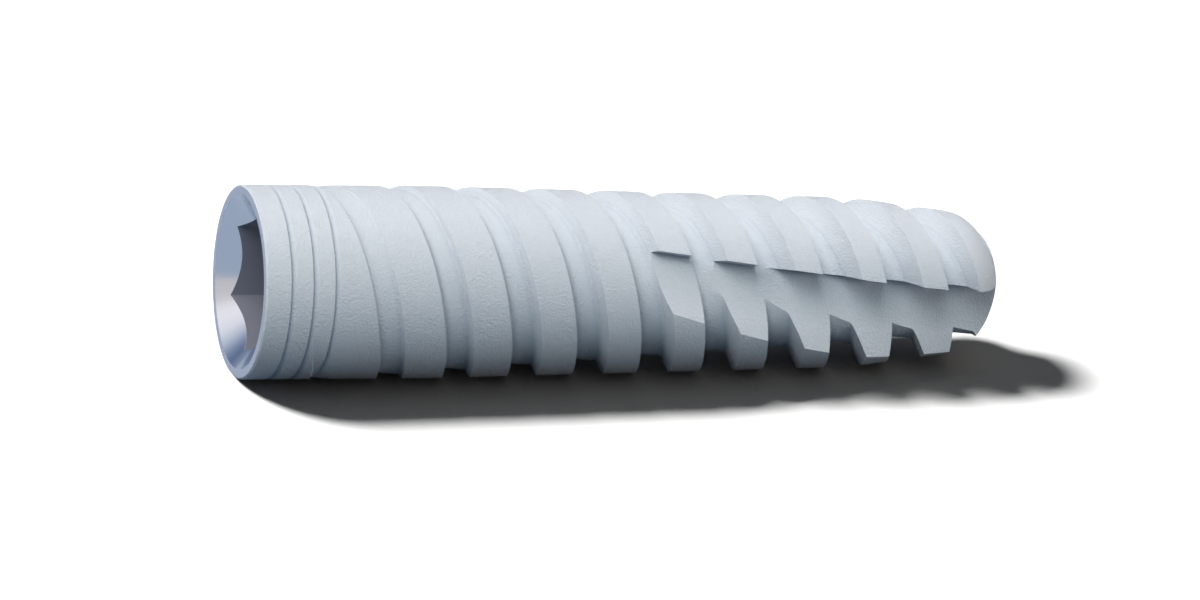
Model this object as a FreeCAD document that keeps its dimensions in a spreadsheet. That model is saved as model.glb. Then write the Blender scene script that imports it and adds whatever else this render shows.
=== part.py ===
import FreeCAD, Part
import Sketcher
import math
import os

V = FreeCAD.Vector
Z_AXIS = V(0, 0, 1)
X_AXIS = V(1, 0, 0)

doc = FreeCAD.newDocument("DentalImplant")

# Driving sizes
# Lengths are in millimetres and angles in degrees. A station is a distance along the axis,
# counted from the platform face toward the apex. A clock angle is counted about the axis from
# the side that faces the viewer, and grows downward over that side.

SIZES = [
    # outside form
    ("platform_dia", "3.75"),
    ("implant_length", "15.84"),
    ("platform_edge", "0.03"),
    ("straight_length", "3.83"),
    ("taper_angle", "1.057"),
    ("nose_start", "12.73"),
    ("nose_angle", "6.84"),
    ("shoulder_radius", "1.135"),
    ("tip_radius", "1.95"),
    # retention rings on the collar
    ("ring_count", "3"),
    ("ring_start", "0.49"),
    ("ring_pitch", "0.435"),
    ("ring_width", "0.11"),
    ("ring_floor", "0.033"),
    ("ring_depth", "0.035"),
    # internal connection
    ("mouth_radius", "1.69"),
    ("mouth_half_angle", "50"),
    ("hex_across_flats", "2.45"),
    ("hex_depth", "1.9"),
    ("hex_clock", "-10.3"),
    ("seat_radius", "1.10"),
    ("bore_radius", "0.775"),
    ("bore_depth", "6.0"),
    ("bore_point_half_angle", "59"),
    ("cut_lift", "0.2"),
    # bone thread with two starts
    ("thread_starts", "2"),
    ("thread_spacing", "1.365"),
    ("thread_station", "2.778"),
    ("thread_clock", "90"),
    ("thread_entry", "0.9"),
    ("thread_overrun", "0.9"),
    ("root_radius", "1.757"),
    ("root_taper_angle", "3.42"),
    ("root_width", "0.461"),
    ("root_slope", "4.75"),
    ("apex_flank_angle", "16.4"),
    ("platform_flank_angle", "27"),
    ("groove_reach", "0.8"),
    # cutting flutes
    ("flute_count", "2"),
    ("flute_start", "7.7"),
    ("flute_overrun", "0.6"),
    ("flute_sections", "5"),
    ("flute_station", "12.4"),
    ("flute_floor", "1.082"),
    ("flute_floor_angle", "6.6"),
    ("flute_clock", "8.0"),
    ("flute_twist_per_mm", "4.35"),
    ("flute_wall", "0.27"),
    ("flute_reach", "2.6"),
    # rest on a flat surface
    ("rest_turn", "24.0"),
]

sheet = doc.addObject("Spreadsheet::Sheet", "Sizes")
for row, (name, value) in enumerate(SIZES, start=1):
    sheet.set("A%d" % row, name)
    sheet.set("B%d" % row, value)
    sheet.setAlias("B%d" % row, name)
doc.recompute()


def size(name):
    return float(sheet.get(name))


def tan_of(name):
    return math.tan(math.radians(size(name)))


# Sketch helpers

def new_sketch(owner, name, plane_role=None):
    if owner is None:
        return doc.addObject("Sketcher::SketchObject", name)
    sketch = owner.newObject("Sketcher::SketchObject", name)
    for plane in owner.Origin.OriginFeatures:
        if plane.Role == plane_role:
            sketch.AttachmentSupport = [(plane, "")]
    sketch.MapMode = "FlatFace"
    doc.recompute()
    return sketch


def add_polygon(sketch, corners):
    # corners: (x value, y value, x formula, y formula), every corner held by two dimensions
    first = sketch.GeometryCount
    count = len(corners)
    for i in range(count):
        a = corners[i]
        b = corners[(i + 1) % count]
        sketch.addGeometry(Part.LineSegment(V(a[0], a[1], 0), V(b[0], b[1], 0)), False)
    for i in range(count):
        follow = first + (i + 1) % count
        sketch.addConstraint(Sketcher.Constraint("Coincident", first + i, 2, follow, 1))
    for i in range(count):
        hold_point(sketch, first + i, 1, corners[i])


def hold_point(sketch, geo, end, corner):
    for kind, value, formula in (("DistanceX", corner[0], corner[2]),
                                 ("DistanceY", corner[1], corner[3])):
        if formula is None:
            target = -2 if kind == "DistanceX" else -1
            sketch.addConstraint(Sketcher.Constraint("PointOnObject", geo, end, target))
            continue
        index = sketch.addConstraint(Sketcher.Constraint(kind, -1, 1, geo, end, value))
        sketch.setExpression("Constraints[%d]" % index, formula)


# Turned blank with its rings, mouth, hex socket and bore

def shoulder_centre():
    # centre of the arc that runs tangent from the nose cone into the flatter tip arc
    lean = math.radians(size("nose_angle"))
    round_off = size("shoulder_radius")
    tip = size("tip_radius")
    foot_r = size("platform_dia") / 2
    foot_r -= (size("nose_start") - size("straight_length")) * tan_of("taper_angle")
    base = V(foot_r - round_off * math.cos(lean), size("nose_start") - round_off * math.sin(lean), 0)
    along = V(-math.sin(lean), math.cos(lean), 0)
    gap = base - V(0, size("implant_length") - tip, 0)
    mid = -gap.dot(along)
    half_chord = math.sqrt(mid * mid - gap.dot(gap) + (tip - round_off) ** 2)
    return base + along * (mid + half_chord)


def outline_sketch(body):
    sketch = new_sketch(body, "Outline", "XZ_Plane")
    half = size("platform_dia") / 2
    edge = size("platform_edge")
    straight = size("straight_length")
    nose = size("nose_start")
    length = size("implant_length")
    round_off = size("shoulder_radius")
    tip = size("tip_radius")
    lean = math.radians(size("nose_angle"))
    foot = V(half - (nose - straight) * tan_of("taper_angle"), nose, 0)
    tip_centre = V(0, length - tip, 0)
    centre = shoulder_centre()
    blend = math.atan2(centre.y - tip_centre.y, centre.x)
    nose_end = centre + V(round_off * math.cos(lean), round_off * math.sin(lean), 0)
    up = V(0, 0, 1)
    points = [V(0, 0, 0), V(half - edge, 0, 0), V(half, edge, 0), V(half, straight, 0), foot, nose_end]
    for i in range(5):
        sketch.addGeometry(Part.LineSegment(points[i], points[i + 1]), False)
    sketch.addGeometry(Part.ArcOfCircle(Part.Circle(centre, up, round_off), lean, blend), False)
    sketch.addGeometry(Part.ArcOfCircle(Part.Circle(tip_centre, up, tip), blend, math.pi / 2), False)
    sketch.addGeometry(Part.LineSegment(V(0, length, 0), V(0, 0, 0)), False)
    for a, b in ((0, 1), (1, 2), (2, 3), (3, 4), (6, 7), (7, 0)):
        sketch.addConstraint(Sketcher.Constraint("Coincident", a, 2, b, 1))
    sketch.addConstraint(Sketcher.Constraint("Tangent", 4, 2, 5, 1))
    sketch.addConstraint(Sketcher.Constraint("Tangent", 5, 2, 6, 1))
    sketch.addConstraint(Sketcher.Constraint("Coincident", 0, 1, -1, 1))
    sketch.addConstraint(Sketcher.Constraint("PointOnObject", 6, 3, -2))
    half_text = "Sizes.platform_dia / 2"
    hold_point(sketch, 1, 1, (half - edge, 0, half_text + " - Sizes.platform_edge", None))
    hold_point(sketch, 2, 1, (half, edge, half_text, "Sizes.platform_edge"))
    hold_point(sketch, 3, 1, (half, straight, half_text, "Sizes.straight_length"))
    hold_point(sketch, 4, 1, (foot.x, nose, half_text + " - (Sizes.nose_start"
                              " - Sizes.straight_length) * tan(Sizes.taper_angle * 1 deg)",
                              "Sizes.nose_start"))
    index = sketch.addConstraint(Sketcher.Constraint("Angle", 4, math.pi / 2 + lean))
    sketch.setExpression("Constraints[%d]" % index, "90 deg + Sizes.nose_angle * 1 deg")
    index = sketch.addConstraint(Sketcher.Constraint("Radius", 5, round_off))
    sketch.setExpression("Constraints[%d]" % index, "Sizes.shoulder_radius")
    index = sketch.addConstraint(Sketcher.Constraint("Radius", 6, tip))
    sketch.setExpression("Constraints[%d]" % index, "Sizes.tip_radius")
    hold_point(sketch, 6, 2, (0, length, None, "Sizes.implant_length"))
    doc.recompute()
    return sketch


def turned_blank():
    body = doc.addObject("PartDesign::Body", "TurnedBlank")
    body.Label = "turned_blank"
    outline = outline_sketch(body)
    turning = body.newObject("PartDesign::Revolution", "Turning")
    turning.Profile = (outline, [""])
    turning.ReferenceAxis = (outline, ["V_Axis"])
    turning.Angle = 360
    doc.recompute()

    # one retention ring: a steep wall on the platform side and a long slope toward the apex
    half = size("platform_dia") / 2
    start = size("ring_start")
    wide = size("ring_width")
    deep = size("ring_depth")
    floor = size("ring_floor")
    ring_sketch = new_sketch(body, "RingProfile", "XZ_Plane")
    out_x = "Sizes.platform_dia / 2 + Sizes.ring_depth"
    in_x = "Sizes.platform_dia / 2 - Sizes.ring_depth"
    add_polygon(ring_sketch, [
        (half + deep, start, out_x, "Sizes.ring_start"),
        (half - deep, start, in_x, "Sizes.ring_start"),
        (half - deep, start + floor, in_x, "Sizes.ring_start + Sizes.ring_floor"),
        (half + deep, start + 2 * wide - floor, out_x,
         "Sizes.ring_start + 2 * Sizes.ring_width - Sizes.ring_floor"),
    ])
    ring = body.newObject("PartDesign::Groove", "Ring")
    ring.Profile = (ring_sketch, [""])
    ring.ReferenceAxis = (ring_sketch, ["V_Axis"])
    ring.Angle = 360
    doc.recompute()
    rings = body.newObject("PartDesign::LinearPattern", "Rings")
    rings.Originals = [ring]
    rings.Direction = (ring_sketch, ["V_Axis"])
    rings.setExpression("Length", "Sizes.ring_pitch * (Sizes.ring_count - 1)")
    rings.setExpression("Occurrences", "Sizes.ring_count")
    body.Tip = rings
    doc.recompute()

    # hex socket for the abutment
    hex_sketch = new_sketch(body, "HexOutline", "XY_Plane")
    far = size("hex_across_flats") / math.sqrt(3)
    corners = []
    for i in range(6):
        clock = math.radians(size("hex_clock") + 60 * i)
        turn = "(Sizes.hex_clock + %d) * 1 deg" % (60 * i)
        far_text = "Sizes.hex_across_flats / sqrt(3)"
        corners.append((far * math.cos(clock), far * math.sin(clock),
                        "%s * cos(%s)" % (far_text, turn), "%s * sin(%s)" % (far_text, turn)))
    add_polygon(hex_sketch, corners)
    doc.recompute()
    socket = body.newObject("PartDesign::Pocket", "HexSocket")
    socket.Profile = (hex_sketch, [""])
    socket.Reversed = True
    socket.setExpression("Length", "Sizes.hex_depth")
    doc.recompute()

    # conical mouth that leads into the hex
    mouth_sketch = new_sketch(body, "MouthProfile", "XZ_Plane")
    lift = size("cut_lift")
    spread = tan_of("mouth_half_angle")
    mouth = size("mouth_radius")
    tan_text = "tan(Sizes.mouth_half_angle * 1 deg)"
    add_polygon(mouth_sketch, [
        (0, -lift, None, "-Sizes.cut_lift"),
        (mouth + lift * spread, -lift, "Sizes.mouth_radius + Sizes.cut_lift * " + tan_text,
         "-Sizes.cut_lift"),
        (0, mouth / spread, None, "Sizes.mouth_radius / %s" % tan_text),
    ])
    mouth_cut = body.newObject("PartDesign::Groove", "Mouth")
    mouth_cut.Profile = (mouth_sketch, [""])
    mouth_cut.ReferenceAxis = (mouth_sketch, ["V_Axis"])
    mouth_cut.Angle = 360
    doc.recompute()

    # screw bore below the hex, with a countersunk seat and a drill point
    bore_sketch = new_sketch(body, "BoreProfile", "XZ_Plane")
    hex_floor = size("hex_depth")
    seat = size("seat_radius")
    bore = size("bore_radius")
    depth = size("bore_depth")
    add_polygon(bore_sketch, [
        (0, hex_floor - lift, None, "Sizes.hex_depth - Sizes.cut_lift"),
        (seat, hex_floor - lift, "Sizes.seat_radius", "Sizes.hex_depth - Sizes.cut_lift"),
        (seat, hex_floor, "Sizes.seat_radius", "Sizes.hex_depth"),
        (bore, hex_floor + seat - bore, "Sizes.bore_radius",
         "Sizes.hex_depth + Sizes.seat_radius - Sizes.bore_radius"),
        (bore, depth, "Sizes.bore_radius", "Sizes.bore_depth"),
        (0, depth + bore / tan_of("bore_point_half_angle"), None,
         "Sizes.bore_depth + Sizes.bore_radius / tan(Sizes.bore_point_half_angle * 1 deg)"),
    ])
    bore_cut = body.newObject("PartDesign::Groove", "ScrewBore")
    bore_cut.Profile = (bore_sketch, [""])
    bore_cut.ReferenceAxis = (bore_sketch, ["V_Axis"])
    bore_cut.Angle = 360
    body.Tip = bore_cut
    doc.recompute()
    return body


# Bone thread: one tapering helical groove for each start

def thread_groove(index):
    lead_text = "Sizes.thread_spacing * Sizes.thread_starts"
    entry = size("thread_entry")
    fall = tan_of("root_taper_angle")
    lead = size("thread_spacing") * size("thread_starts")
    radius = size("root_radius") + (size("thread_station") - entry) * fall
    clock = size("thread_clock") + 360.0 * (entry - size("thread_station")) / lead
    clock += 360.0 * index / size("thread_starts")
    radius_text = ("Sizes.root_radius + (Sizes.thread_station - Sizes.thread_entry)"
                   " * tan(Sizes.root_taper_angle * 1 deg)")

    path = doc.addObject("Part::Helix", "ThreadPath%d" % index)
    path.SegmentLength = 1
    path.setExpression("Pitch", lead_text)
    path.setExpression("Height", "Sizes.implant_length + Sizes.thread_overrun - Sizes.thread_entry")
    path.setExpression("Radius", radius_text)
    path.setExpression("Angle", "-Sizes.root_taper_angle")
    path.Placement = FreeCAD.Placement(V(0, 0, entry), FreeCAD.Rotation(Z_AXIS, clock))
    doc.recompute()

    profile = new_sketch(None, "GrooveProfile%d" % index)
    profile.Placement = FreeCAD.Placement(
        V(0, 0, entry), FreeCAD.Rotation(Z_AXIS, clock) * FreeCAD.Rotation(X_AXIS, 90))
    wide = size("root_width")
    reach = size("groove_reach")
    rise = wide * tan_of("root_slope")
    lean = (reach - rise) * tan_of("platform_flank_angle")
    back = reach * tan_of("apex_flank_angle")
    rise_text = "Sizes.root_width * tan(Sizes.root_slope * 1 deg)"
    reach_text = radius_text + " + Sizes.groove_reach"
    add_polygon(profile, [
        (radius, 0, radius_text, None),
        (radius + rise, wide, radius_text + " + " + rise_text, "Sizes.root_width"),
        (radius + reach, wide + lean, reach_text,
         "Sizes.root_width + (Sizes.groove_reach - " + rise_text + ")"
         " * tan(Sizes.platform_flank_angle * 1 deg)"),
        (radius + reach, -back, reach_text,
         "-Sizes.groove_reach * tan(Sizes.apex_flank_angle * 1 deg)"),
    ])
    doc.recompute()

    groove = doc.addObject("Part::Sweep", "ThreadGroove%d" % index)
    groove.Sections = [profile]
    groove.Spine = (path, ["Edge%d" % (i + 1) for i in range(len(path.Shape.Edges))])
    groove.Solid = True
    groove.Frenet = True
    doc.recompute()
    return groove


# Cutting flutes: a flat floor and a wall at right angles to it, turned along the axis

def flute(index):
    first = size("flute_start")
    last = size("implant_length") + size("flute_overrun")
    count = int(size("flute_sections"))
    wall = size("flute_wall")
    reach = size("flute_reach")
    sections = []
    for i in range(count):
        station = first + (last - first) * i / (count - 1)
        clock = size("flute_clock") + size("flute_twist_per_mm") * (station - size("flute_station"))
        clock += 360.0 * index / size("flute_count")
        floor = size("flute_floor") - (station - size("flute_station")) * tan_of("flute_floor_angle")
        share = "%g" % (i / (count - 1))
        floor_text = ("Sizes.flute_floor - (Sizes.flute_start + (Sizes.implant_length"
                      " + Sizes.flute_overrun - Sizes.flute_start) * " + share +
                      " - Sizes.flute_station) * tan(Sizes.flute_floor_angle * 1 deg)")
        section = new_sketch(None, "Flute%dSection%d" % (index, i))
        section.Placement = FreeCAD.Placement(V(0, 0, station), FreeCAD.Rotation(Z_AXIS, clock))
        add_polygon(section, [
            (floor, -wall, floor_text, "-Sizes.flute_wall"),
            (floor + reach, -wall, floor_text + " + Sizes.flute_reach", "-Sizes.flute_wall"),
            (floor + reach, reach, floor_text + " + Sizes.flute_reach", "Sizes.flute_reach"),
            (floor, reach, floor_text, "Sizes.flute_reach"),
        ])
        sections.append(section)
    doc.recompute()
    cutter = doc.addObject("Part::Loft", "Flute%d" % index)
    cutter.Sections = sections
    cutter.Solid = True
    cutter.Ruled = False
    doc.recompute()
    return cutter


def cut_from(base, tool, name):
    cut = doc.addObject("Part::Cut", name)
    cut.Base = base
    cut.Tool = tool
    doc.recompute()
    return cut


def lay_down(piece):
    # axis along +X with the apex ahead, lying on the taper line, origin below the middle
    tilt = math.radians(size("taper_angle"))
    half = size("platform_dia") / 2
    tip = size("tip_radius")
    height = size("straight_length") * math.sin(tilt) + half * math.cos(tilt)
    ahead = (size("implant_length") - tip) * math.cos(tilt) + tip
    behind = -(half - size("platform_edge")) * math.sin(tilt)
    turn = FreeCAD.Rotation(Z_AXIS, -size("rest_turn"))
    lie = FreeCAD.Rotation(V(0, -1, 0), V(0, 0, -1), V(1, 0, 0), "ZXY")
    lean = FreeCAD.Rotation(V(0, 1, 0), size("taper_angle"))
    piece.Placement = FreeCAD.Placement(V(-(ahead + behind) / 2, 0, height), lean * lie * turn)
    doc.recompute()


blank = turned_blank()
piece = blank
for start in range(int(size("thread_starts"))):
    piece = cut_from(piece, thread_groove(start), "ThreadCut%d" % start)
for number in range(int(size("flute_count"))):
    piece = cut_from(piece, flute(number), "FluteCut%d" % number)
piece.Label = "implant_fixture"
lay_down(piece)

for obj in doc.Objects:
    if "Invalid" in obj.State or "Error" in obj.State:
        raise RuntimeError("not solved: " + obj.Name)
shape = piece.Shape
if shape.isNull() or not shape.isValid() or len(shape.Solids) != 1:
    raise RuntimeError("implant_fixture is not one valid solid")
os.makedirs("parts", exist_ok=True)
shape.exportStep("parts/implant_fixture.step")
box = shape.optimalBoundingBox(False)
print("faces", len(shape.Faces), "volume", round(shape.Volume, 3), box)
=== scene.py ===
"""A dental implant fixture that lies on a pale studio floor: metalwork, finishes, light and camera."""

import logging
import math
from dataclasses import dataclass, field
from enum import Enum

import bpy
from mathutils import Matrix, Vector


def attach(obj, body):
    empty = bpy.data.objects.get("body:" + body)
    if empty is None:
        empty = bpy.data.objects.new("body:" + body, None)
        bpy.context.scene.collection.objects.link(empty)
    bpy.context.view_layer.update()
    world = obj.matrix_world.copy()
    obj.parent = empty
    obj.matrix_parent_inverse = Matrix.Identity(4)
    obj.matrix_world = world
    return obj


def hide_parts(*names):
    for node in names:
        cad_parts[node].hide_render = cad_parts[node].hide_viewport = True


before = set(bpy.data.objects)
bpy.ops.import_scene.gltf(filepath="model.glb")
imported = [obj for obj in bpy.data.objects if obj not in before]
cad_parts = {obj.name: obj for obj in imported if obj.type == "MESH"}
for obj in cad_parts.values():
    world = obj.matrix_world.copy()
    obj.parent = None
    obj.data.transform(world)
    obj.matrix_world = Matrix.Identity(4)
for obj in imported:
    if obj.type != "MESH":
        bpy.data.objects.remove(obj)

log = logging.getLogger("implant")

Colour = tuple[float, float, float, float]

MM = 0.001
NODE = "implant_fixture"
AXIS = Vector((0.0, 0.0, 1.0))
ORIGIN = (0.0, 0.0, 0.0)
FULL_TURN = 2.0 * math.pi
WELD_MM = 0.0004
LATHE_STEPS = 192
HEX_SIDES = 6
SHADER = "Principled BSDF"

# The energy at which a sun lights a white face square on at level one
SUN_ENERGY = math.pi

# Sockets of the mix node, which have the same names and differ by number
MIX_SHARE = 0
MIX_VALUES = (2, 3)
MIX_COLOURS = (6, 7)
MIX_VALUE_OUT = 0
MIX_COLOUR_OUT = 2


# Bench operations

def clear_selection() -> None:
    """Deselects every object, so that the next operator acts on its own piece alone."""
    for thing in bpy.context.selected_objects:
        thing.select_set(False)


def take_up(piece: bpy.types.Object) -> None:
    """Makes a piece the only selected one and the active one.

    Args:
        piece: The object that the next operators work on.
    """
    clear_selection()
    piece.select_set(True)
    bpy.context.view_layer.objects.active = piece


def begin_shaping(piece: bpy.types.Object) -> None:
    """Opens a piece for mesh editing with all of it selected.

    Args:
        piece: The object to open.
    """
    take_up(piece)
    bpy.ops.object.mode_set(mode="EDIT")
    bpy.ops.mesh.select_mode(type="VERT")
    bpy.ops.mesh.select_all(action="SELECT")


def end_shaping() -> None:
    """Closes mesh editing."""
    bpy.ops.object.mode_set(mode="OBJECT")


def close_up() -> None:
    """Welds the open piece's doubled points and turns its faces outward."""
    bpy.ops.mesh.select_all(action="SELECT")
    bpy.ops.mesh.remove_doubles(threshold=WELD_MM)
    bpy.ops.mesh.normals_make_consistent(inside=False)


def swing(angle: float) -> None:
    """Turns what is selected in the open piece about the axis.

    Args:
        angle: The turn, positive from +X to +Y.
    """
    bpy.ops.transform.rotate(value=-angle, orient_axis="Z", orient_type="GLOBAL", center_override=ORIGIN)


def outline_point(radius: float, height: float) -> Vector:
    """Gives a point of a half outline by its distance from the axis and its height."""
    return Vector((radius, 0.0, height))


def round_axis(radius: float, clock: float, height: float = 0.0) -> Vector:
    """Gives a point by its distance from the axis, its angle round it and its height."""
    return Vector((radius * math.cos(clock), radius * math.sin(clock), height))


def draw_line(name: str, points: list[Vector], closed: bool = False) -> bpy.types.Object:
    """Draws a chain of edges by pulling one point along a path.

    Args:
        name: The new object's name.
        points: The corners of the chain, in millimetres.
        closed: Whether the chain returns to its start and is filled with a face.

    Returns:
        The new object, left selected in object mode.
    """
    clear_selection()
    bpy.ops.mesh.primitive_plane_add(size=1.0, location=ORIGIN)
    piece = bpy.context.object
    piece.name = name
    begin_shaping(piece)
    bpy.ops.mesh.merge(type="CENTER")
    bpy.ops.transform.translate(value=points[0])
    for here, there in zip(points, points[1:]):
        bpy.ops.mesh.extrude_vertices_move(TRANSFORM_OT_translate={"value": there - here})
    if closed:
        bpy.ops.mesh.select_all(action="SELECT")
        bpy.ops.mesh.edge_face_add()
    end_shaping()
    return piece


def soften(corners: list[tuple[float, float]], rounds: tuple[float, ...],
           steps: int = 5) -> list[tuple[float, float]]:
    """Rounds the corners of a closed section.

    Args:
        corners: The section's corners in order.
        rounds: The rounding radius of each corner, nought where it stays sharp.
        steps: The number of steps in each rounding.

    Returns:
        The corners of the rounded section.
    """
    points = []
    for index, (corner, radius) in enumerate(zip(corners, rounds)):
        here = Vector(corner)
        if radius == 0.0:
            points.append(tuple(here))
            continue
        back = (Vector(corners[index - 1]) - here).normalized()
        ahead = (Vector(corners[(index + 1) % len(corners)]) - here).normalized()
        half = back.angle(ahead) / 2
        run = radius / math.tan(half)
        centre = here + (back + ahead).normalized() * (radius / math.sin(half))
        start, end = here + back * run - centre, here + ahead * run - centre
        for step in range(steps + 1):
            points.append(tuple(centre + start.slerp(end, step / steps) * radius))
    return points


def turn_on_lathe(name: str, outline: list[Vector]) -> bpy.types.Object:
    """Spins a half outline about the axis into a closed solid.

    Args:
        name: The new object's name.
        outline: The half outline, which starts and ends on the axis.

    Returns:
        The solid.
    """
    piece = draw_line(name, outline)
    begin_shaping(piece)
    bpy.ops.mesh.spin(steps=LATHE_STEPS, angle=FULL_TURN, center=ORIGIN, axis=AXIS)
    close_up()
    end_shaping()
    return piece


def half_turn_copy(piece: bpy.types.Object, name: str) -> bpy.types.Object:
    """Copies a cutter with its own mesh and turns the copy half round about the axis.

    Args:
        piece: The cutter to copy.
        name: The copy's name.

    Returns:
        The copy.
    """
    take_up(piece)
    bpy.ops.object.duplicate(linked=False)
    twin = bpy.context.object
    twin.name = name
    begin_shaping(twin)
    swing(-math.pi)
    end_shaping()
    return twin


def cut(piece: bpy.types.Object, cutter: bpy.types.Object) -> None:
    """Cuts one solid with another and takes the cutter off the bench.

    Args:
        piece: The solid that is kept.
        cutter: The solid that is used up. Its material stays on the faces that it leaves.
    """
    take_up(piece)
    bpy.ops.object.modifier_add(type="BOOLEAN")
    modifier = piece.modifiers[-1]
    modifier.operation = "DIFFERENCE"
    modifier.solver = "EXACT"
    modifier.material_mode = "TRANSFER"
    modifier.object = cutter
    bpy.ops.object.modifier_apply(modifier=modifier.name)
    take_up(cutter)
    bpy.ops.object.delete()
    take_up(piece)


def wear(piece: bpy.types.Object, material: bpy.types.Material) -> None:
    """Gives a piece one material all over.

    Args:
        piece: The object to dress.
        material: Its material.
    """
    piece.data.materials.clear()
    piece.data.materials.append(material)


# Node work that finishes, floor and surroundings share

def add_node(tree: bpy.types.NodeTree, kind: str, sockets: dict[str | int, object] | None = None,
             **settings: object) -> bpy.types.Node:
    """Adds a node and sets it up.

    Args:
        tree: The tree that gets the node.
        kind: The node's type name.
        sockets: The values of its inputs, by name or number.
        settings: Its plain properties, by name.

    Returns:
        The new node.
    """
    node = tree.nodes.new(kind)
    for key, value in settings.items():
        setattr(node, key, value)
    for key, value in (sockets or {}).items():
        node.inputs[key].default_value = value
    return node


def either(tree: bpy.types.NodeTree, first: bpy.types.NodeSocket,
           second: bpy.types.NodeSocket) -> bpy.types.NodeSocket:
    """Joins two masks.

    Args:
        tree: The tree that holds them.
        first: The first mask's output.
        second: The second mask's output.

    Returns:
        The output of a mask that is one where either is one.
    """
    node = add_node(tree, "ShaderNodeMath", operation="MAXIMUM")
    tree.links.new(first, node.inputs[0])
    tree.links.new(second, node.inputs[1])
    return node.outputs[0]


def mix_shaders(tree: bpy.types.NodeTree, share: bpy.types.NodeSocket, first: bpy.types.NodeSocket,
                second: bpy.types.NodeSocket) -> bpy.types.NodeSocket:
    """Mixes two shaders.

    Args:
        tree: The tree that holds them.
        share: The output that gives the second shader's share.
        first: The first shader's output.
        second: The second shader's output.

    Returns:
        The mixed shader's output.
    """
    node = tree.nodes.new("ShaderNodeMixShader")
    for number, source in enumerate((share, first, second)):
        tree.links.new(source, node.inputs[number])
    return node.outputs[0]


def plain_metal(name: str, metallic: float, roughness: float) -> bpy.types.Material:
    """Makes a material that is even all over.

    Args:
        name: Its name.
        metallic: How much of a metal it is.
        roughness: How rough it is.

    Returns:
        The new material.
    """
    material = bpy.data.materials.new(name)
    material.use_nodes = True
    shader = material.node_tree.nodes[SHADER]
    shader.inputs["Metallic"].default_value = metallic
    shader.inputs["Roughness"].default_value = roughness
    return material


def grain_group() -> bpy.types.NodeTree:
    """Builds the blasted-grain effect: a relief height and a light mottling, both from place.

    Returns:
        The node group. Its grain is given as pits and waves for each metre.
    """
    group = bpy.data.node_groups.new("BlastGrain", "ShaderNodeTree")
    for name in ("Pits per metre", "Waves per metre", "Wave share"):
        group.interface.new_socket(name, in_out="INPUT", socket_type="NodeSocketFloat")
    for name in ("Height", "Mottle"):
        group.interface.new_socket(name, in_out="OUTPUT", socket_type="NodeSocketFloat")
    entry = group.nodes.new("NodeGroupInput")
    leave = group.nodes.new("NodeGroupOutput")
    place = group.nodes.new("ShaderNodeTexCoord")
    pits = add_node(group, "ShaderNodeTexNoise", {"Detail": 3.0, "Roughness": 0.6}, noise_dimensions="3D")
    waves = add_node(group, "ShaderNodeTexNoise", {"Detail": 2.0, "Roughness": 0.5}, noise_dimensions="3D")
    blend = add_node(group, "ShaderNodeMix", data_type="FLOAT")
    link = group.links.new
    for noise, name, socket in zip((pits, waves), ("Pits per metre", "Waves per metre"), MIX_VALUES):
        link(place.outputs["Object"], noise.inputs["Vector"])
        link(entry.outputs[name], noise.inputs["Scale"])
        link(noise.outputs["Fac"], blend.inputs[socket])
    link(entry.outputs["Wave share"], blend.inputs[MIX_SHARE])
    link(blend.outputs[MIX_VALUE_OUT], leave.inputs["Height"])
    link(waves.outputs["Fac"], leave.inputs["Mottle"])
    return group


# Finishes

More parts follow.
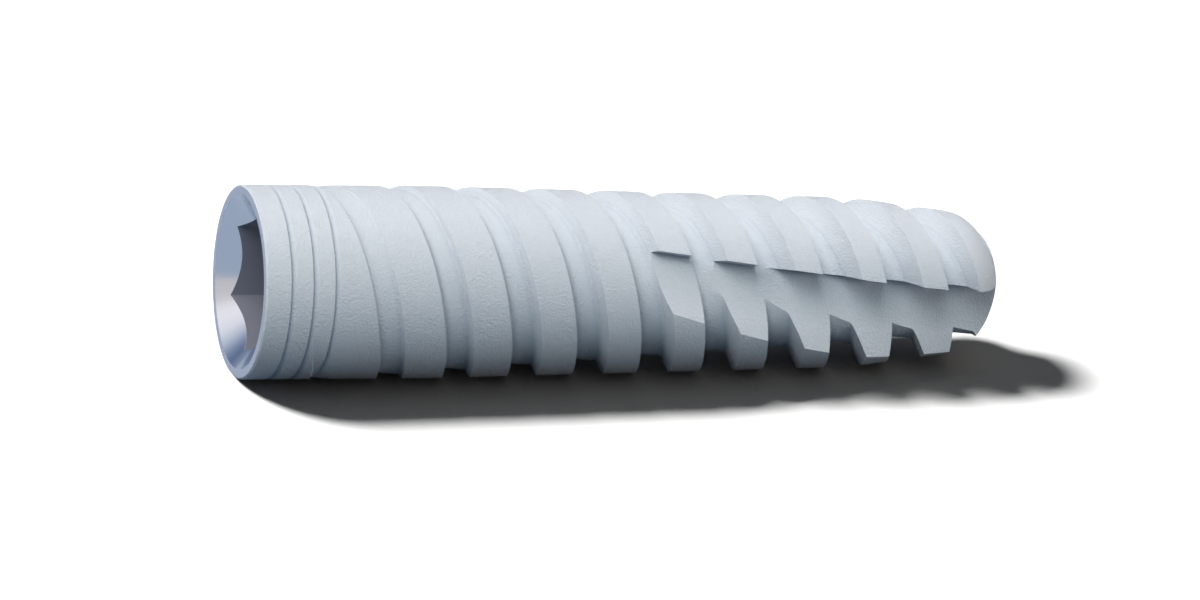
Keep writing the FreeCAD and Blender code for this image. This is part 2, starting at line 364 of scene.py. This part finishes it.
@dataclass(frozen=True)
class BlastedTitanium:
    """Grit-blasted, etched titanium: matt, pale and finely pitted, with painted shade that darkens its
    crevices.
    """

    name: str = "blasted_titanium"
    pale: Colour = (0.66, 0.70, 0.745, 1.0)
    dull: Colour = (0.62, 0.66, 0.705, 1.0)
    metallic: float = 0.0
    roughness: float = 0.62
    pit_mm: float = 0.045
    wave_mm: float = 0.16
    wave_share: float = 0.12
    relief_mm: float = 0.027
    # Painted shade: the dark blue that the crevices are darkened toward, how far ambient occlusion looks,
    # and the occlusion values where the painted shade starts and is full
    painted_crevice_shade: Colour = (0.20, 0.27, 0.34, 1.0)
    crevice_shade_reach_mm: float = 0.16
    crevice_shade_start: float = 0.96
    crevice_shade_full: float = 0.45
    crevice_shade_samples: int = 8

    def mottled(self, tree: bpy.types.NodeTree, mottle: bpy.types.NodeSocket) -> bpy.types.NodeSocket:
        """Tints the metal unevenly.

        Args:
            tree: The material's tree.
            mottle: The output that gives the mottling.

        Returns:
            The output with the colour.
        """
        ends = dict(zip(MIX_COLOURS, (self.dull, self.pale)))
        tint = add_node(tree, "ShaderNodeMix", ends, data_type="RGBA")
        tree.links.new(mottle, tint.inputs[MIX_SHARE])
        return tint.outputs[MIX_COLOUR_OUT]

    def shaded(self, tree: bpy.types.NodeTree, colour: bpy.types.NodeSocket) -> bpy.types.NodeSocket:
        """Paints shade into the crevices: darkens a colour toward a dark blue where ambient occlusion finds
        close walls.

        Args:
            tree: The material's tree.
            colour: The output with the colour.

        Returns:
            The output with the colour and its painted shade.
        """
        # Painted shade: ambient occlusion darkens the colour in the rings, the thread's grooves and the
        # flutes' corners
        corner = add_node(tree, "ShaderNodeAmbientOcclusion", {"Distance": self.crevice_shade_reach_mm * MM},
                          samples=self.crevice_shade_samples)
        depth = add_node(tree, "ShaderNodeMapRange", {
            "From Min": self.crevice_shade_start,
            "From Max": self.crevice_shade_full,
            "To Min": 0.0,
            "To Max": 1.0,
        })
        shade = add_node(tree, "ShaderNodeMix", {MIX_COLOURS[1]: self.painted_crevice_shade}, data_type="RGBA")
        tree.links.new(corner.outputs["AO"], depth.inputs["Value"])
        tree.links.new(depth.outputs[0], shade.inputs[MIX_SHARE])
        tree.links.new(colour, shade.inputs[MIX_COLOURS[0]])
        return shade.outputs[MIX_COLOUR_OUT]

    def material(self) -> bpy.types.Material:
        """Makes the material.

        Returns:
            The new material.
        """
        grain = grain_group()
        material = plain_metal(self.name, self.metallic, self.roughness)
        tree = material.node_tree
        shader = tree.nodes[SHADER]
        effect = add_node(tree, "ShaderNodeGroup", {
            "Pits per metre": 1.0 / (self.pit_mm * MM),
            "Waves per metre": 1.0 / (self.wave_mm * MM),
            "Wave share": self.wave_share,
        }, node_tree=grain)
        bump = add_node(tree, "ShaderNodeBump", {"Strength": 1.0, "Distance": self.relief_mm * MM})
        # The mottled colour, with painted shade darkening its crevices
        colour = self.shaded(tree, self.mottled(tree, effect.outputs["Mottle"]))
        tree.links.new(colour, shader.inputs["Base Color"])
        tree.links.new(effect.outputs["Height"], bump.inputs["Height"])
        tree.links.new(bump.outputs["Normal"], shader.inputs["Normal"])
        return material


@dataclass(frozen=True)
class TurnedTitanium:
    """Bare machined titanium, smooth and even, whose edges are shaded a little round."""

    name: str
    colour: Colour
    metallic: float
    roughness: float
    edge_round_mm: float = 0.02
    edge_samples: int = 6

    def material(self) -> bpy.types.Material:
        """Makes the material.

        Returns:
            The new material.
        """
        material = plain_metal(self.name, self.metallic, self.roughness)
        tree = material.node_tree
        shader = tree.nodes[SHADER]
        shader.inputs["Base Color"].default_value = self.colour
        edges = add_node(tree, "ShaderNodeBevel", {"Radius": self.edge_round_mm * MM},
                         samples=self.edge_samples)
        tree.links.new(edges.outputs["Normal"], shader.inputs["Normal"])
        return material


class Finish(Enum):
    """The finishes that the fixture's faces have."""

    BLASTED = BlastedTitanium()
    PLATFORM = TurnedTitanium("turned_platform", (0.44, 0.505, 0.64, 1.0), metallic=0.0, roughness=0.5)
    MOUTH = TurnedTitanium("polished_mouth", (0.60, 0.62, 0.68, 1.0), metallic=1.0, roughness=0.17)
    SOCKET = TurnedTitanium("broached_socket", (0.30, 0.31, 0.37, 1.0), metallic=0.5, roughness=0.45)


@dataclass
class FinishRack:
    """The materials of the finishes, each made once."""

    made: dict[Finish, bpy.types.Material] = field(init=False)

    def __post_init__(self) -> None:
        """Makes the materials."""
        self.made = {finish: finish.value.material() for finish in Finish}


# The fixture, modelled upright in millimetres: the platform at nought and the apex above it

@dataclass
class Envelope:
    """The turned outside form, from the platform to the rounded apex."""

    platform_radius: float = 1.875
    length: float = 15.84
    platform_edge: float = 0.03
    straight_length: float = 3.83
    taper: float = math.radians(1.057)
    nose_start: float = 12.73
    nose_lean: float = math.radians(6.84)
    nose_blend: float = 0.25
    blend_steps: int = 5
    shoulder_radius: float = 1.135
    tip_radius: float = 1.95
    ring_count: int = 3
    ring_start: float = 0.49
    ring_pitch: float = 0.435
    ring_width: float = 0.11
    ring_floor: float = 0.033
    ring_depth: float = 0.035
    arc_step: float = math.radians(3.0)

    def foot_radius(self) -> float:
        """Gives the radius where the nose cone begins."""
        return self.platform_radius - (self.nose_start - self.straight_length) * math.tan(self.taper)

    def tip_centre(self) -> Vector:
        """Gives the centre of the tip arc."""
        return outline_point(0.0, self.length - self.tip_radius)

    def shoulder_centre(self) -> Vector:
        """Finds the centre of the arc between the nose cone and the tip arc.

        Returns:
            The centre, with its distance from the axis in x and its station in z.
        """
        lean = self.nose_lean
        base = outline_point(self.foot_radius() - self.shoulder_radius * math.cos(lean),
                             self.nose_start - self.shoulder_radius * math.sin(lean))
        along = outline_point(-math.sin(lean), math.cos(lean))
        gap = base - self.tip_centre()
        middle = -gap.dot(along)
        spread = self.tip_radius - self.shoulder_radius
        return base + along * (middle + math.sqrt(middle ** 2 - gap.dot(gap) + spread ** 2))

    def arc(self, centre: Vector, radius: float, start: float, end: float) -> list[Vector]:
        """Divides an arc of the outline.

        Args:
            centre: The arc's centre.
            radius: Its radius.
            start: The angle from the radial direction where it starts.
            end: The angle where it ends.

        Returns:
            The points of the arc, both ends included.
        """
        count = max(2, math.ceil((end - start) / self.arc_step))
        turns = [start + (end - start) * i / count for i in range(count + 1)]
        return [centre + radius * outline_point(math.cos(turn), math.sin(turn)) for turn in turns]

    def rings(self) -> list[Vector]:
        """Gives the corners of the fine turned rings."""
        wide, deep = self.platform_radius, self.platform_radius - self.ring_depth
        points = []
        for number in range(self.ring_count):
            start = self.ring_start + number * self.ring_pitch
            points += [outline_point(wide, start), outline_point(deep, start),
                       outline_point(deep, start + self.ring_floor),
                       outline_point(wide, start + self.ring_width)]
        return points

    def nose_foot(self) -> list[Vector]:
        """Gives the curve from the body's taper into the nose cone."""
        foot = outline_point(self.foot_radius(), self.nose_start)
        start = foot + outline_point(math.sin(self.taper), -math.cos(self.taper)) * self.nose_blend
        end = foot + outline_point(-math.sin(self.nose_lean), math.cos(self.nose_lean)) * self.nose_blend
        shares = [step / self.blend_steps for step in range(self.blend_steps + 1)]
        return [start * (1 - share) ** 2 + foot * 2 * share * (1 - share) + end * share ** 2
                for share in shares]

    def outline(self) -> list[Vector]:
        """Draws the half outline from the platform's centre to the apex.

        Returns:
            The corners of the outline.
        """
        wide = self.platform_radius
        points = [Vector(ORIGIN), outline_point(wide - self.platform_edge, 0.0),
                  outline_point(wide, self.platform_edge)]
        points += self.rings()
        points.append(outline_point(wide, self.straight_length))
        points += self.nose_foot()
        centre = self.shoulder_centre()
        blend = math.atan2(centre.z - self.tip_centre().z, centre.x)
        points += self.arc(centre, self.shoulder_radius, self.nose_lean, blend)
        points += self.arc(self.tip_centre(), self.tip_radius, blend, math.pi / 2)[1:]
        return points


@dataclass
class HelicalCutter:
    """A section that is carried round the axis on a helix, drawing in as it climbs."""

    lead: float
    height: float
    fall: float
    steps: int

    def carry(self, piece: bpy.types.Object, clock: float) -> None:
        """Extrudes the piece's only face round the helix.

        Args:
            piece: The object that holds the section, in the half plane at the clock angle.
            clock: The section's angle about the axis.
        """
        rise = self.height / self.steps
        turn = FULL_TURN * rise / self.lead
        inward = self.fall * rise
        begin_shaping(piece)
        for step in range(self.steps):
            bpy.ops.mesh.extrude_region()
            swing(turn)
            bpy.ops.transform.translate(value=round_axis(-inward, clock + turn * (step + 1), rise))
        close_up()
        end_shaping()


@dataclass
class BoneThread:
    """The double-start thread: two helical grooves that deepen toward the apex."""

    spacing: float = 1.365
    starts: int = 2
    station: float = 2.778
    clock: float = math.radians(90.0)
    entry: float = 0.9
    overrun: float = 0.9
    root_radius: float = 1.757
    root_taper: float = math.radians(3.42)
    root_width: float = 0.461
    root_slope: float = math.radians(4.75)
    apex_flank: float = math.radians(16.4)
    platform_flank: float = math.radians(27.0)
    reach: float = 0.8
    apex_corner: float = 0.04
    platform_corner: float = 0.08
    steps_per_turn: int = 96

    def section(self, radius: float) -> list[tuple[float, float]]:
        """Draws a groove's section.

        Args:
            radius: The root's distance from the axis on its apex side.

        Returns:
            The corners, each by its distance from the axis and its height.
        """
        rise = self.root_width * math.tan(self.root_slope)
        corners = [
            (radius, 0.0),
            (radius + rise, self.root_width),
            (radius + self.reach, self.root_width + (self.reach - rise) * math.tan(self.platform_flank)),
            (radius + self.reach, -self.reach * math.tan(self.apex_flank)),
        ]
        return soften(corners, (self.apex_corner, self.platform_corner, 0.0, 0.0))

    def cutters(self, length: float) -> list[bpy.types.Object]:
        """Makes the cutter of each groove.

        Args:
            length: The fixture's length.

        Returns:
            The cutters, one for each start.
        """
        lead = self.spacing * self.starts
        fall = math.tan(self.root_taper)
        radius = self.root_radius + (self.station - self.entry) * fall
        clock = self.clock + FULL_TURN * (self.entry - self.station) / lead
        out = round_axis(1.0, clock)
        corners = [out * r + AXIS * (self.entry + z) for r, z in self.section(radius)]
        first = draw_line("thread_groove_1", corners, closed=True)
        height = length + self.overrun - self.entry
        HelicalCutter(lead, height, fall, math.ceil(height / lead * self.steps_per_turn)).carry(first, clock)
        return [first, half_turn_copy(first, "thread_groove_2")]


@dataclass
class CuttingFlutes:
    """The two twisted flutes that make the apex self-tapping."""

    start: float = 7.7
    overrun: float = 0.6
    station: float = 12.4
    floor: float = 1.082
    floor_lean: float = math.radians(6.6)
    clock: float = math.radians(8.0)
    twist_per_mm: float = math.radians(4.35)
    wall: float = 0.27
    reach: float = 2.6
    steps: int = 91
    hollow: float = 0.05
    hollow_end: float = 0.95
    hollow_steps: int = 8

    def floor_line(self, floor: float) -> list[tuple[float, float]]:
        """Draws the flute's floor across, a little hollow beside the wall.

        Args:
            floor: The floor's distance from the axis.

        Returns:
            The corners, from the hollow's far end back to the wall.
        """
        middle = (self.hollow_end - self.wall) / 2
        half = (self.hollow_end + self.wall) / 2
        places = [self.hollow_end - 2 * half * i / self.hollow_steps for i in range(self.hollow_steps)]
        return [(floor - self.hollow * (1 - ((y - middle) / half) ** 2), y) for y in places]

    def cutters(self, length: float) -> list[bpy.types.Object]:
        """Makes the cutter of each flute.

        Args:
            length: The fixture's length.

        Returns:
            The two cutters.
        """
        clock = self.clock + self.twist_per_mm * (self.start - self.station)
        floor = self.floor - (self.start - self.station) * math.tan(self.floor_lean)
        out = round_axis(1.0, clock)
        side = Vector((-math.sin(clock), math.cos(clock), 0.0))
        corners = [(floor, -self.wall), (floor + self.reach, -self.wall),
                   (floor + self.reach, self.reach), (floor, self.reach)]
        corners += self.floor_line(floor)
        section = [out * x + side * y + AXIS * self.start for x, y in corners]
        first = draw_line("flute_1", section, closed=True)
        height = length + self.overrun - self.start
        lead = FULL_TURN / self.twist_per_mm
        HelicalCutter(lead, height, math.tan(self.floor_lean), self.steps).carry(first, clock)
        return [first, half_turn_copy(first, "flute_2")]


@dataclass
class Connection:
    """The inside of the platform end: a conical mouth, a hex socket and a screw bore."""

    mouth_radius: float = 1.69
    mouth_half_angle: float = math.radians(50.0)
    hex_across_flats: float = 2.45
    hex_depth: float = 1.9
    hex_clock: float = math.radians(-10.3)
    seat_radius: float = 1.10
    bore_radius: float = 0.775
    bore_depth: float = 6.0
    bore_point: float = math.radians(59.0)
    lift: float = 0.2

    def mouth_cutter(self) -> bpy.types.Object:
        """Makes the cone that opens the mouth.

        Returns:
            The cutter.
        """
        spread = math.tan(self.mouth_half_angle)
        return turn_on_lathe("mouth", [
            outline_point(0.0, -self.lift),
            outline_point(self.mouth_radius + self.lift * spread, -self.lift),
            outline_point(0.0, self.mouth_radius / spread),
        ])

    def hex_cutter(self) -> bpy.types.Object:
        """Makes the hexagonal prism of the socket.

        Returns:
            The cutter.
        """
        far = self.hex_across_flats / math.sqrt(3.0)
        turns = [self.hex_clock + FULL_TURN * i / HEX_SIDES for i in range(HEX_SIDES)]
        corners = [round_axis(far, turn, -self.lift) for turn in turns]
        cutter = draw_line("hex_socket", corners, closed=True)
        begin_shaping(cutter)
        climb = AXIS * (self.hex_depth + self.lift)
        bpy.ops.mesh.extrude_region_move(TRANSFORM_OT_translate={"value": climb})
        close_up()
        end_shaping()
        return cutter

    def bore_cutter(self) -> bpy.types.Object:
        """Makes the drill of the screw bore, with its countersunk seat.

        Returns:
            The cutter.
        """
        top = self.hex_depth - self.lift
        return turn_on_lathe("screw_bore", [
            outline_point(0.0, top),
            outline_point(self.seat_radius, top),
            outline_point(self.seat_radius, self.hex_depth),
            outline_point(self.bore_radius, self.hex_depth + self.seat_radius - self.bore_radius),
            outline_point(self.bore_radius, self.bore_depth),
            outline_point(0.0, self.bore_depth + self.bore_radius / math.tan(self.bore_point)),
        ])


@dataclass(frozen=True)
class Sight:
    """The ways in which the photograph shows the fixture, as units in the row frame."""

    along: Vector
    toward: Vector
    down: Vector


@dataclass
class Rest:
    """How the fixture lies: on its taper line, along +X, turned about its own axis."""

    turn: float = math.radians(24.0)

    def height(self, envelope: Envelope) -> float:
        """Gives the height of the platform's centre over the floor.

        Args:
            envelope: The turned outside form.

        Returns:
            The height in millimetres.
        """
        return (envelope.straight_length * math.sin(envelope.taper)
                + envelope.platform_radius * math.cos(envelope.taper))

    def place(self, envelope: Envelope) -> Matrix:
        """Gives the move from the upright model to the row frame.

        Args:
            envelope: The turned outside form.

        Returns:
            The matrix, which also turns millimetres into metres.
        """
        tilt = envelope.taper
        ahead = (envelope.length - envelope.tip_radius) * math.cos(tilt) + envelope.tip_radius
        behind = -(envelope.platform_radius - envelope.platform_edge) * math.sin(tilt)
        base = Vector((-(ahead + behind) / 2, 0.0, self.height(envelope)))
        lie = Matrix(((0.0, 0.0, 1.0), (-1.0, 0.0, 0.0), (0.0, -1.0, 0.0))).to_4x4()
        lean = Matrix.Rotation(tilt, 4, "Y")
        turn = Matrix.Rotation(-self.turn, 4, "Z")
        return Matrix.Scale(MM, 4) @ Matrix.Translation(base) @ lean @ lie @ turn

    def sight(self, envelope: Envelope) -> Sight:
        """Gives the photograph's ways: the axis, across it to the viewer, and the picture's way down.

        Args:
            envelope: The turned outside form.

        Returns:
            The three ways.
        """
        tilt = envelope.taper
        along = Vector((math.cos(tilt), 0.0, -math.sin(tilt)))
        under = Vector((-math.sin(tilt), 0.0, -math.cos(tilt)))
        front = Vector((0.0, -1.0, 0.0))
        toward = front * math.cos(self.turn) - under * math.sin(self.turn)
        down = front * math.sin(self.turn) + under * math.cos(self.turn)
        return Sight(along, toward, down)


@dataclass
class ImplantFixture:
    """The whole fixture, one piece of titanium."""

    rack: FinishRack
    envelope: Envelope = field(default_factory=Envelope)
    thread: BoneThread = field(default_factory=BoneThread)
    flutes: CuttingFlutes = field(default_factory=CuttingFlutes)
    connection: Connection = field(default_factory=Connection)
    rest: Rest = field(default_factory=Rest)
    crease: float = math.radians(20.0)
    platform_flatness: float = 0.9

    def cutters(self) -> list[tuple[bpy.types.Object, Finish]]:
        """Makes every cutter.

        Returns:
            The cutters in the order of their cuts, each with the finish that it leaves.
        """
        length = self.envelope.length
        outside = self.thread.cutters(length) + self.flutes.cutters(length)
        return [(cutter, Finish.BLASTED) for cutter in outside] + [
            (self.connection.mouth_cutter(), Finish.MOUTH),
            (self.connection.hex_cutter(), Finish.SOCKET),
            (self.connection.bore_cutter(), Finish.SOCKET),
        ]

    def build(self) -> bpy.types.Object:
        """Turns the blank and cuts everything into it.

        Returns:
            The finished piece in the row frame.
        """
        piece = turn_on_lathe("blank", self.envelope.outline())
        wear(piece, self.rack.made[Finish.BLASTED])
        for cutter, finish in self.cutters():
            log.info("cut: %s", cutter.name)
            wear(cutter, self.rack.made[finish])
            cut(piece, cutter)
        piece.name = "implant_fixture_visual"
        self.paint_platform(piece)
        take_up(piece)
        piece.matrix_world = self.rest.place(self.envelope)
        bpy.ops.object.transform_apply(location=True, rotation=True, scale=True)
        bpy.ops.object.shade_smooth_by_angle(angle=self.crease)
        return piece

    def paint_platform(self, piece: bpy.types.Object) -> None:
        """Gives the flat ring at the platform its turned finish.

        Args:
            piece: The piece, still upright.
        """
        piece.data.materials.append(self.rack.made[Finish.PLATFORM])
        slot = len(piece.data.materials) - 1
        for face in piece.data.polygons:
            if face.normal.z < -self.platform_flatness and face.center.z < self.envelope.platform_edge:
                face.material_index = slot


# The studio

def hang_sun(name: str, way: Vector, width: float, level: float, colour: Vector) -> bpy.types.Object:
    """Hangs a far lamp.

    Args:
        name: The lamp's name.
        way: The way from the object to the lamp.
        width: The angle that the lamp fills, which softens its shadows.
        level: How bright it makes a white face square on.
        colour: Its colour.

    Returns:
        The lamp.
    """
    clear_selection()
    bpy.ops.object.light_add(type="SUN", location=ORIGIN)
    lamp = bpy.context.object
    lamp.name = name
    lamp.rotation_euler = way.to_track_quat("Z", "Y").to_euler()
    lamp.data.angle = width
    lamp.data.energy = SUN_ENERGY * level
    lamp.data.color = colour
    return lamp


def light_only(lamp: bpy.types.Object, piece: bpy.types.Object) -> None:
    """Lets a lamp light one object alone.

    Args:
        lamp: The lamp.
        piece: The object that it lights.
    """
    group = bpy.data.collections.new(lamp.name + "_lights")
    group.objects.link(piece)
    lamp.light_linking.receiver_collection = group


@dataclass(frozen=True)
class SoftLamp:
    """A broad lamp that lights the fixture alone and isn't mirrored in it.

    Its way is given along the fixture's axis, toward the viewer and up in the picture, and its spread
    is half the angle that it fills.
    """

    name: str
    way: tuple[float, float, float]
    spread: float
    level: tuple[float, float, float]

    def hang(self, sight: Sight) -> bpy.types.Object:
        """Hangs the lamp.

        Args:
            sight: The photograph's ways.

        Returns:
            The lamp.
        """
        way = sight.along * self.way[0] + sight.toward * self.way[1] - sight.down * self.way[2]
        brightest = max(self.level)
        lamp = hang_sun(self.name, way, 2 * self.spread, brightest, Vector(self.level) / brightest)
        lamp.visible_glossy = False
        return lamp


@dataclass
class PaleFloor:
    """The floor, which the lamp behind turns white to the camera, and which hardly lights the fixture."""

    radius: float = 0.45
    corners: int = 128
    seen: Colour = (0.76, 0.635, 0.54, 1.0)
    bounced: Colour = (0.014, 0.026, 0.042, 1.0)
    mirrored: Colour = (0.26, 0.26, 0.27, 1.0)

    def material(self) -> bpy.types.Material:
        """Makes the floor's material: a colour for the camera, one for bounces and one for mirrors.

        Returns:
            The new material.
        """
        material = bpy.data.materials.new("studio_floor")
        material.use_nodes = True
        tree = material.node_tree
        tree.nodes.clear()
        path = tree.nodes.new("ShaderNodeLightPath")
        lit = add_node(tree, "ShaderNodeBsdfDiffuse", {"Color": self.seen})
        dim = tree.nodes.new("ShaderNodeBsdfDiffuse")
        tint = add_node(tree, "ShaderNodeMix", dict(zip(MIX_COLOURS, (self.bounced, self.mirrored))),
                        data_type="RGBA")
        tree.links.new(path.outputs["Is Glossy Ray"], tint.inputs[MIX_SHARE])
        tree.links.new(tint.outputs[MIX_COLOUR_OUT], dim.inputs["Color"])
        indirect = either(tree, path.outputs["Is Diffuse Ray"], path.outputs["Is Glossy Ray"])
        end = tree.nodes.new("ShaderNodeOutputMaterial")
        tree.links.new(mix_shaders(tree, indirect, lit.outputs[0], dim.outputs[0]), end.inputs["Surface"])
        return material

    def lay(self) -> bpy.types.Object:
        """Lays the floor.

        Returns:
            The floor.
        """
        clear_selection()
        bpy.ops.mesh.primitive_circle_add(vertices=self.corners, radius=self.radius, fill_type="NGON",
                                          location=ORIGIN)
        floor = bpy.context.object
        floor.name = "studio_floor"
        wear(floor, self.material())
        return floor


@dataclass
class StudioLight:
    """The lamps and the surrounding light, fitted to the photograph's shading and shadow."""

    lamps: tuple[SoftLamp, ...] = (
        SoftLamp("key_lamp", (-0.48, 0.59, 0.66), math.radians(18.0), (0.48, 0.42, 0.42)),
        SoftLamp("brow_lamp", (-0.44, 0.77, 0.47), math.radians(20.0), (0.26, 0.34, 0.35)),
        SoftLamp("platform_lamp", (-0.60, 0.0, 0.80), math.radians(22.0), (0.50, 0.46, 0.44)),
        SoftLamp("apex_lamp", (0.97, 0.21, 0.07), math.radians(30.0), (0.20, 0.14, 0.09)),
        SoftLamp("low_apex_lamp", (0.90, 0.38, -0.22), math.radians(30.0), (0.42, 0.43, 0.42)),
        SoftLamp("front_lamp", (0.35, 0.85, -0.30), math.radians(30.0), (0.08, 0.08, 0.08)),
    )
    back_elevation: float = math.radians(46.0)
    back_swing: float = math.radians(70.0)
    back_width: float = math.radians(16.0)
    back_level: float = 2.45
    back_colour: tuple[float, float, float] = (0.72, 0.86, 1.0)
    fill_colour: Colour = (0.6, 0.8, 1.0, 1.0)
    fill_level: float = 0.085
    shine_level: float = 1.2
    shine_bands: tuple[tuple[float, Colour], ...] = (
        (0.0, (0.70, 0.67, 0.66, 1.0)),
        (0.14, (1.10, 1.06, 1.03, 1.0)),
        (0.40, (0.95, 0.94, 0.95, 1.0)),
        (0.58, (0.62, 0.67, 0.76, 1.0)),
        (0.75, (0.26, 0.33, 0.45, 1.0)),
        (0.88, (0.12, 0.17, 0.30, 1.0)),
        (1.0, (0.30, 0.35, 0.45, 1.0)),
    )

    def light_fixture(self, piece: bpy.types.Object, sight: Sight) -> None:
        """Hangs the lamps that light the fixture.

        Args:
            piece: The fixture.
            sight: The photograph's ways.
        """
        for lamp in self.lamps:
            light_only(lamp.hang(sight), piece)

    def light_floor(self, floor: bpy.types.Object) -> None:
        """Hangs the lamp behind, which lights the floor and throws the fixture's shadow on it.

        Args:
            floor: The floor.
        """
        rise, turn = self.back_elevation, self.back_swing
        way = Vector((-math.cos(rise) * math.sin(turn), math.cos(rise) * math.cos(turn), math.sin(rise)))
        level = self.back_level / math.sin(rise)
        light_only(hang_sun("back_lamp", way, self.back_width, level, Vector(self.back_colour)), floor)

    def shine(self, tree: bpy.types.NodeTree, height: bpy.types.NodeSocket) -> bpy.types.NodeSocket:
        """Makes what the polished faces mirror: bands of light and dark.

        Args:
            tree: The surroundings' tree.
            height: The output along which the bands change.

        Returns:
            The background's output.
        """
        bands = tree.nodes.new("ShaderNodeValToRGB")
        ramp = bands.color_ramp
        ramp.elements[0].position, ramp.elements[0].color = self.shine_bands[0]
        ramp.elements[1].position, ramp.elements[1].color = self.shine_bands[-1]
        for position, colour in self.shine_bands[1:-1]:
            ramp.elements.new(position).color = colour
        background = add_node(tree, "ShaderNodeBackground", {"Strength": self.shine_level})
        tree.links.new(height, bands.inputs[0])
        tree.links.new(bands.outputs[0], background.inputs["Color"])
        return background.outputs[0]

    def fill(self, tree: bpy.types.NodeTree, height: bpy.types.NodeSocket) -> bpy.types.NodeSocket:
        """Makes the faint light that comes from above.

        Args:
            tree: The surroundings' tree.
            height: The output with the height of each direction.

        Returns:
            The background's output.
        """
        overhead = add_node(tree, "ShaderNodeMath", {1: 2 * self.fill_level}, operation="MULTIPLY",
                            use_clamp=True)
        background = add_node(tree, "ShaderNodeBackground", {"Color": self.fill_colour})
        tree.links.new(height, overhead.inputs[0])
        tree.links.new(overhead.outputs[0], background.inputs["Strength"])
        return background.outputs[0]

    def surround(self) -> None:
        """Builds the surroundings: white to the camera, bands to what mirrors and the fill to the rest."""
        world = bpy.data.worlds.new("studio")
        bpy.context.scene.world = world
        world.use_nodes = True
        tree = world.node_tree
        tree.nodes.clear()
        around = tree.nodes.new("ShaderNodeTexCoord")
        ways = tree.nodes.new("ShaderNodeSeparateXYZ")
        tree.links.new(around.outputs["Generated"], ways.inputs[0])
        shine = self.shine(tree, ways.outputs["Y"])
        fill = self.fill(tree, ways.outputs["Z"])
        white = add_node(tree, "ShaderNodeBackground", {"Color": (1.0, 1.0, 1.0, 1.0), "Strength": 1.0})
        path = tree.nodes.new("ShaderNodeLightPath")
        seen = either(tree, path.outputs["Is Camera Ray"], path.outputs["Is Transmission Ray"])
        unseen = mix_shaders(tree, path.outputs["Is Glossy Ray"], fill, shine)
        end = tree.nodes.new("ShaderNodeOutputWorld")
        tree.links.new(mix_shaders(tree, seen, unseen, white.outputs[0]), end.inputs["Surface"])


@dataclass
class PhotoCamera:
    """The long lens that the photograph was taken with, fitted to the fixture's outline."""

    picture_width_px: float = 1200.0
    picture_height_px: float = 600.0
    focal_px: float = 4780.0
    axis_row_px: float = 282.04
    axis_yaw: float = math.radians(20.5)
    aim_right_mm: float = -6.9433
    aim_away_mm: float = 91.95
    sensor_mm: float = 36.0
    nearest: float = 0.002
    farthest: float = 10.0

    def set_up(self, sight: Sight, platform: Vector) -> None:
        """Sets the camera where the photograph was taken from.

        Args:
            sight: The photograph's ways.
            platform: The platform's centre, from which the camera's place is measured.
        """
        yaw = self.axis_yaw
        right = sight.along * math.cos(yaw) + sight.toward * math.sin(yaw)
        ahead = sight.along * math.sin(yaw) - sight.toward * math.cos(yaw)
        place = platform - (right * self.aim_right_mm + ahead * self.aim_away_mm) * MM
        clear_selection()
        bpy.ops.object.camera_add()
        camera = bpy.context.object
        camera.name = "camera"
        turned = Matrix((right, -sight.down, -ahead)).transposed().to_4x4()
        camera.matrix_world = Matrix.Translation(place) @ turned
        camera.data.sensor_width = self.sensor_mm
        camera.data.lens = self.focal_px / self.picture_width_px * self.sensor_mm
        camera.data.shift_y = -(self.picture_height_px / 2 - self.axis_row_px) / self.picture_width_px
        camera.data.clip_start = self.nearest
        camera.data.clip_end = self.farthest
        bpy.context.scene.camera = camera


def main() -> None:
    """Builds the fixture and the studio, and reports each."""
    logging.basicConfig(level=logging.INFO, format="%(name)s: %(message)s")
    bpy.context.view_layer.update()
    fixture = ImplantFixture(FinishRack())
    piece = fixture.build()
    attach(piece, "root")
    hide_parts(NODE)
    log.info("%s: %d faces", piece.name, len(piece.data.polygons))
    sight = fixture.rest.sight(fixture.envelope)
    floor = PaleFloor().lay()
    light = StudioLight()
    light.light_fixture(piece, sight)
    light.light_floor(floor)
    light.surround()
    PhotoCamera().set_up(sight, fixture.rest.place(fixture.envelope) @ Vector(ORIGIN))
    bpy.context.scene.view_settings.view_transform = "Standard"
    log.info("studio: floor, lamps and camera")


if __name__ == "__main__":
    main()
